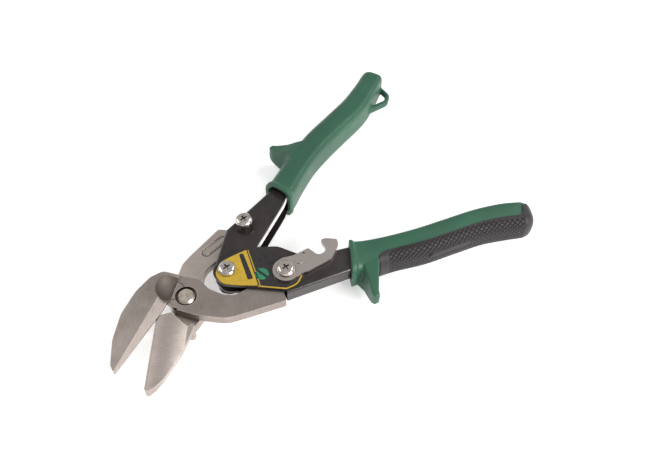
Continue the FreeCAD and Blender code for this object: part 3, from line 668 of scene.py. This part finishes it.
def fin(name, stations, tip):
    """A finger guard through cross-sections.

    Each station is (front bottom, front top, back, bottom height, top height), in plan and
    from the blade plane; the tip is (x, y).
    """
    rings = []
    for low, high, back, bottom, top in stations:
        corners = np.array([(*low, bottom), (*high, top), (*back, top), (*back, bottom)], float)
        sides = [np.linspace(corners[k], corners[(k + 1) % 4], 7)[:-1] for k in range(4)]
        rings.append(np.concatenate(sides))
    # Two shrunken copies of the last section round the tip.
    end = np.array([*tip, 0.0])
    middle = rings[-1].mean(axis=0)
    section = rings[-1] - middle
    rings.append(end + section * np.array([0.75, 0.75, 0.85]))
    rings.append(end + section * np.array([0.35, 0.35, 0.5]) + (end - middle) * 0.35)
    verts = np.concatenate(rings) + np.array([0.0, 0.0, PLANE])
    count = len(rings[0])
    faces = grid_faces(len(rings), count, True)
    faces += [tuple(range(count))[::-1], tuple(range((len(rings) - 1) * count, len(rings) * count))]
    return add_piece(name, verts.tolist(), faces, "green")


UPPER_FIN = [
    ((90.0, 40.0), (93.0, 41.0), (107.0, 46.0), -8.4, 8.4),
    ((89.8, 46.5), (92.6, 45.5), (104.0, 48.4), -7.0, 7.2),
    ((89.0, 50.5), (91.0, 50.5), (98.5, 51.4), -6.0, 5.4),
    ((88.6, 53.6), (89.6, 53.8), (94.8, 54.4), -5.4, 4.4),
    ((88.9, 55.8), (89.5, 55.8), (93.0, 56.2), -5.0, 3.8),
]
LOWER_FIN = [
    ((79.0, -33.0), (85.0, -31.0), (93.0, -36.0), -8.0, 8.4),
    ((76.8, -40.0), (81.4, -38.5), (89.5, -41.6), -7.0, 8.0),
    ((76.8, -45.5), (79.2, -44.5), (84.9, -46.8), -6.0, 6.8),
    ((75.4, -50.5), (76.5, -50.5), (81.2, -51.4), -5.2, 5.6),
    ((74.7, -53.6), (75.2, -53.6), (79.0, -54.2), -4.4, 4.6),
]


def make_upper_grip():
    surface = GripSurface(UPPER_STATIONS, 1, 17.0, 5.5)
    core = grip_core("upper_core", surface, 2.6)
    guard = fin("upper_fin", UPPER_FIN, (90.9, 57.2))
    loop = slab("upper_eye", [(145.0, 50.5, 0), (152.6, 48.0, 6.0), (167.8, 46.6, 4.5), (173.0, 50.8, 4.5),
                              (173.2, 64.0, 1.0), (160.0, 60.0, 0)],
                PLANE - 3.2, PLANE + 0.6, "green", 0.9)
    hole = slab("upper_eye_hole", [(157.6, 50.2, 1.2), (167.3, 49.2, 2.4), (170.6, 52.4, 2.4),
                                   (170.9, 60.6, 1.0), (162.6, 55.0, 1.0)],
                PLANE - 12, PLANE + 12, "green")
    carve(loop, hole)
    grip = merge([core, guard, loop], "upper_grip_moulding", "green", 0.42, 5)
    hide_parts("upper_grip")
    panel = rubber_panel("upper_grip_panel", surface, 19.0, (77.0, 50.0), (8.0, 0.0),
                         (52.0, -5.0, 10.5, 2.4))
    return grip, panel


def make_lower_grip():
    surface = GripSurface(LOWER_STATIONS, -1, 33.0, 6.5)
    core = grip_core("lower_core", surface, 2.4)
    guard = fin("lower_fin", LOWER_FIN, (76.6, -56.0))
    grip = merge([core, guard], "lower_grip_moulding", "green", 0.42, 5)
    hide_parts("lower_grip")
    panel = rubber_panel("lower_grip_panel", surface, 13.0, (50.0, 60.0), (77.0, 74.0),
                         (52.4, 0.9, 10.2, 2.5))
    return grip, panel


# ---------------------------------------------------------------- label

HEAD_EDGE = [(31.5, -17.5, 2.0), (41.8, -27.0, 2.0), (47.6, -28.0, 6.0), (54.6, -23.6, 4.0)]
YELLOW = [(38.6, 3.9, 0.4), (31.4, 5.0, 10.0), (24.0, 5.6, 8.0), (17.6, 1.2, 6.0), (17.6, -6.0, 6.0),
          (24.0, -11.8, 8.0), (31.4, -17.5, 0.6)]
BLANK_PLATE = [(34.1, 3.8, 0.7), (36.2, 3.2, 0.7), (31.8, -12.6, 0.7), (29.2, -11.6, 0.7)]


def strip(corners, width, side):
    """An open band of constant width along one side of a rounded path."""
    ends = [(x, y, 0) for x, y, radius in (corners[0], corners[-1])]
    path = [Vector(point) for point in rounded([ends[0]] + corners[1:-1] + [ends[1]])]
    shifted = []
    for i, point in enumerate(path):
        way = (path[min(i + 1, len(path) - 1)] - path[max(i - 1, 0)]).normalized()
        shifted.append(point + Vector((-way.y, way.x)) * width * side)
    return [(p.x, p.y, 0) for p in path] + [(p.x, p.y, 0) for p in reversed(shifted)]


def make_label():
    film = LABEL_FACE + 0.13
    ground = slab("label_film", [(18.9, 3.4, 4.6), (19.0, -5.4, 5.0), (31.8, -17.2, 8.0), (42.0, -26.6, 1.0),
                                 (48.4, -27.2, 6.0), (53.4, -24.0, 0.5), (51.8, -11.6, 1.0), (39.0, 3.9, 1.0),
                                 (28.6, 5.0, 10.0)],
                  LABEL_FACE, film, "black_print")
    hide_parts("head_label")
    yellow = slab("label_yellow_field", YELLOW, LABEL_FACE + 0.02, film + 0.05, "yellow")
    plate = slab("label_blank_plate", BLANK_PLATE, film, film + 0.10, "black_print")
    hairline = slab("label_divide_line",
                    [(39.05, 3.5, 0), (39.5, 3.3, 0), (32.35, -18.5, 0), (31.9, -18.3, 0)],
                    film - 0.02, film + 0.05, "yellow")
    border = slab("label_border_line", strip(HEAD_EDGE, 0.75, -1), LABEL_FACE + 0.02, film + 0.05, "yellow")
    roundel = slab("label_green_roundel", [(33.4, -9.4, 3.4), (40.2, -9.4, 3.4), (40.2, -16.4, 3.4),
                                           (33.4, -16.4, 3.4)], film - 0.02, film + 0.05, "green_print")
    bar = slab("label_roundel_bar",
               [(35.4, -9.0, 0.3), (36.6, -8.6, 0.3), (38.6, -16.6, 0.3), (37.4, -17.0, 0.3)],
               film, film + 0.09, "black_print")
    ride_all("lower_handle", ground, yellow, plate, hairline, border, roundel, bar)


# ---------------------------------------------------------------- latch details

def make_latch_bead():
    """The pressed oval thumb bead with its shallow middle."""
    top = PLANE + 9.1
    centre = Vector((57.2, -19.2))
    turn = math.radians(-8)
    verts, faces = [], []
    rings = [(0.0, 0.28), (0.45, 0.3), (0.72, 0.5), (0.86, 0.46), (1.0, -0.02)]
    around = 40
    for share, rise in rings:
        for k in range(around):
            angle = 2 * math.pi * k / around
            x = max(share, 0.02) * (1.1 * math.cos(angle)) + math.copysign(1.6, math.cos(angle)) * share
            y = max(share, 0.02) * 1.5 * math.sin(angle)
            verts.append((centre.x + x * math.cos(turn) - y * math.sin(turn),
                          centre.y + x * math.sin(turn) + y * math.cos(turn), top + rise))
    faces = grid_faces(len(rings), around, True)
    faces.append(tuple(range(around)))
    bead = add_piece("latch_thumb_bead", verts, faces, "latch_steel")
    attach(bead, "latch")


def ride_all(body, *pieces):
    for piece in pieces:
        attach(piece, body)


# ---------------------------------------------------------------- the tool

finish_cad_nodes()

upper_grip, upper_panel = make_upper_grip()
lower_grip, lower_panel = make_lower_grip()
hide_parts("upper_grip_rubber")
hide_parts("lower_grip_rubber")
ride_all("upper_handle", upper_grip, upper_panel)
ride_all("lower_handle", lower_grip, lower_panel)
make_label()
make_latch_bead()


# ---------------------------------------------------------------- stage, light and camera

def make_stage():
    floor = add_piece("floor", [(-3000, -3000, 0), (3000, -3000, 0), (3000, 3000, 0), (-3000, 3000, 0)],
                      [(0, 1, 2, 3)], "floor", smooth=False)


def add_area(name, place, target, width, power):
    lamp = bpy.data.lights.new(name, "AREA")
    lamp.shape = "SQUARE"
    lamp.size = width
    lamp.energy = power
    lamp.color = (1.0, 0.985, 0.965)
    light = bpy.data.objects.new(name, lamp)
    bpy.context.scene.collection.objects.link(light)
    light.location = place
    light.rotation_euler = (Vector(target) - Vector(place)).to_track_quat("-Z", "Y").to_euler()


def make_light():
    world = bpy.data.worlds.new("studio")
    world.use_nodes = True
    world.node_tree.nodes["Background"].inputs["Color"].default_value = (1.0, 1.0, 1.0, 1.0)
    world.node_tree.nodes["Background"].inputs["Strength"].default_value = 0.42
    bpy.context.scene.world = world
    middle = (0.06, 0.0, 0.01)
    add_area("key", (0.30, -0.85, 0.50), middle, 0.45, 10.0)
    add_area("back_fill", (-0.35, 0.65, 0.75), middle, 0.6, 3.4)
    add_area("side_fill", (0.85, -0.05, 0.95), middle, 0.4, 4.0)


def make_camera():
    lens = bpy.data.cameras.new("camera")
    lens.lens = 47.44
    lens.sensor_width = 36.0
    lens.clip_start = 0.01
    camera = bpy.data.objects.new("camera", lens)
    bpy.context.scene.collection.objects.link(camera)
    place = Vector((-0.0792, -0.2179, 0.37405))
    target = Vector((0.0796, -0.0064, 0.0105))
    camera.location = place
    camera.rotation_euler = (target - place).to_track_quat("-Z", "Y").to_euler()
    bpy.context.scene.camera = camera


make_stage()
make_light()
make_camera()
bpy.context.scene.view_settings.view_transform = "Standard"
